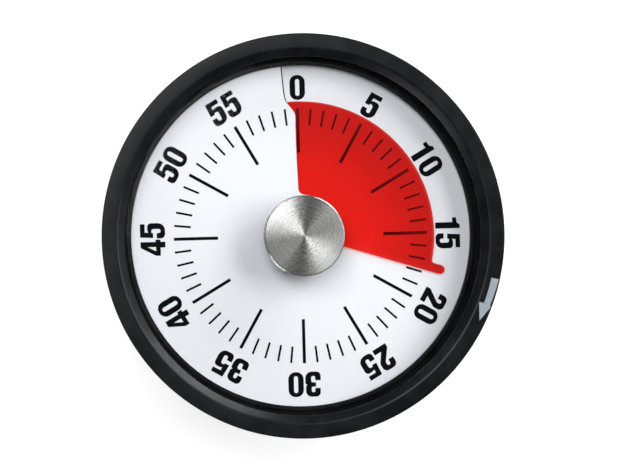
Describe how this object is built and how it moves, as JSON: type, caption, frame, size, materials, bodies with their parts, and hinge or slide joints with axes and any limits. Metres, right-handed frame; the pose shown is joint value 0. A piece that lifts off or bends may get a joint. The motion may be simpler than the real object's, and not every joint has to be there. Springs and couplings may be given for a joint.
{
  "type": "kitchen timer",
  "caption": "Round mechanical kitchen timer with a turning black rim, white minute dial, translucent red time disc under a clear window, and a steel centre cap.",
  "frame": {"origin": "centre of the round back face that the timer lies on", "axes": "+Z out of the dial along the turning axis, +Y towards the 0-minute mark, +X towards the 15-minute mark"},
  "size_m": [0.08, 0.08, 0.033],
  "materials": {
    "black_plastic": "fine satin moulded plastic",
    "clear_window": "clear polished plastic",
    "brushed_cap": "turned, fine concentric lines",
    "white_dial": "smooth printed sheet",
    "red_film": "translucent film",
    "hub_plastic": "moulded",
    "rubber_pad": "matt rubber sheet",
    "magnet": "sintered, dull",
    "brass": "stamped, satin",
    "steel": "turned or stamped",
    "spring_steel": "blued strip",
    "bell_steel": "nickel plated",
    "screws": "zinc plated"
  },
  "bodies": {
    "case": {"rear_housing": "black_plastic", "rear_pad": "rubber_pad", "rear_magnet": "magnet", "housing_screws": "screws", "back_plate": "brass", "front_plate": "brass", "pillars": "steel", "plate_screws": "screws", "dial_spacers": "steel", "dial_screws": "screws", "dial_plate": "black_plastic", "dial_rests": "black_plastic", "dial_sheet": "white_dial", "dial_clamp_ring": "black_plastic", "mainspring": "spring_steel", "spring_post": "steel", "bell": "bell_steel", "bell_post": "steel", "bell_screw": "screws", "hammer_post": "steel", "hammer_spring": "spring_steel"},
    "rotor": {"bezel_ring": "black_plastic", "lens": "clear_window", "hub": "hub_plastic", "hub_screw": "screws", "knob_cap": "brushed_cap", "main_arbor": "steel", "ratchet_wheel": "steel", "bell_cam": "steel"},
    "time_disc": {"time_disc": "red_film"},
    "great_wheel": {"great_wheel": "brass", "click": "steel", "click_rivet": "steel"},
    "second_wheel": {"second_wheel": "brass", "second_pinion": "steel"},
    "third_wheel": {"third_wheel": "brass", "third_pinion": "steel"},
    "escape_wheel": {"escape_wheel": "brass", "escape_pinion": "steel"},
    "anchor": {"pallet_anchor": "steel", "pallet_pins": "steel", "balance_bar": "brass"},
    "hammer": {"hammer_arm": "steel", "hammer_head": "steel"}
  },
  "joints": [
    {"name": "wind", "type": "hinge", "parent": "case", "child": "rotor", "pos_m": [0, 0, 0.03], "axis": [0, 0, 1], "range_deg": [-255, 105], "deforming": ["mainspring"]},
    {"name": "disc_lift", "type": "slide", "parent": "rotor", "child": "time_disc", "axis": [0, 0, 1], "range_m": [-0.00018, 0.00043]},
    {"name": "great_wheel_spin", "type": "hinge", "parent": "case", "child": "great_wheel", "pos_m": [0, 0, 0.0198], "axis": [0, 0, 1], "range_deg": [-256, 106]},
    {"name": "second_wheel_spin", "type": "hinge", "parent": "case", "child": "second_wheel", "pos_m": [-0.01541, -0.00561, 0.016], "axis": [0, 0, 1], "range_deg": [-757, 1837]},
    {"name": "third_wheel_spin", "type": "hinge", "parent": "case", "child": "third_wheel", "pos_m": [-0.01497, -0.0182, 0.016], "axis": [0, 0, 1], "range_deg": [-12853, 5293]},
    {"name": "escape_wheel_spin", "type": "hinge", "parent": "case", "child": "escape_wheel", "pos_m": [-0.00605, -0.02315, 0.016], "axis": [0, 0, 1], "range_deg": [-39691, 96391]},
    {"name": "anchor_swing", "type": "hinge", "parent": "case", "child": "anchor", "pos_m": [0.00158, -0.0211, 0.016], "axis": [0, 0, 1], "range_deg": [-4, 4]},
    {"name": "hammer_swing", "type": "hinge", "parent": "case", "child": "hammer", "pos_m": [0, -0.013, 0.0095], "axis": [0, 0, -1], "range_deg": [0, 4], "stiffness_Nm_per_rad": 0.0008}
  ],
  "couplings": [
    {"joint": "disc_lift", "follows": "wind", "m_per_rad": -0.000095493},
    {"joint": "great_wheel_spin", "follows": "wind", "ratio": 1},
    {"joint": "second_wheel_spin", "follows": "wind", "ratio": -7.2},
    {"joint": "third_wheel_spin", "follows": "wind", "ratio": 50.4},
    {"joint": "escape_wheel_spin", "follows": "wind", "ratio": -378}
  ]
}
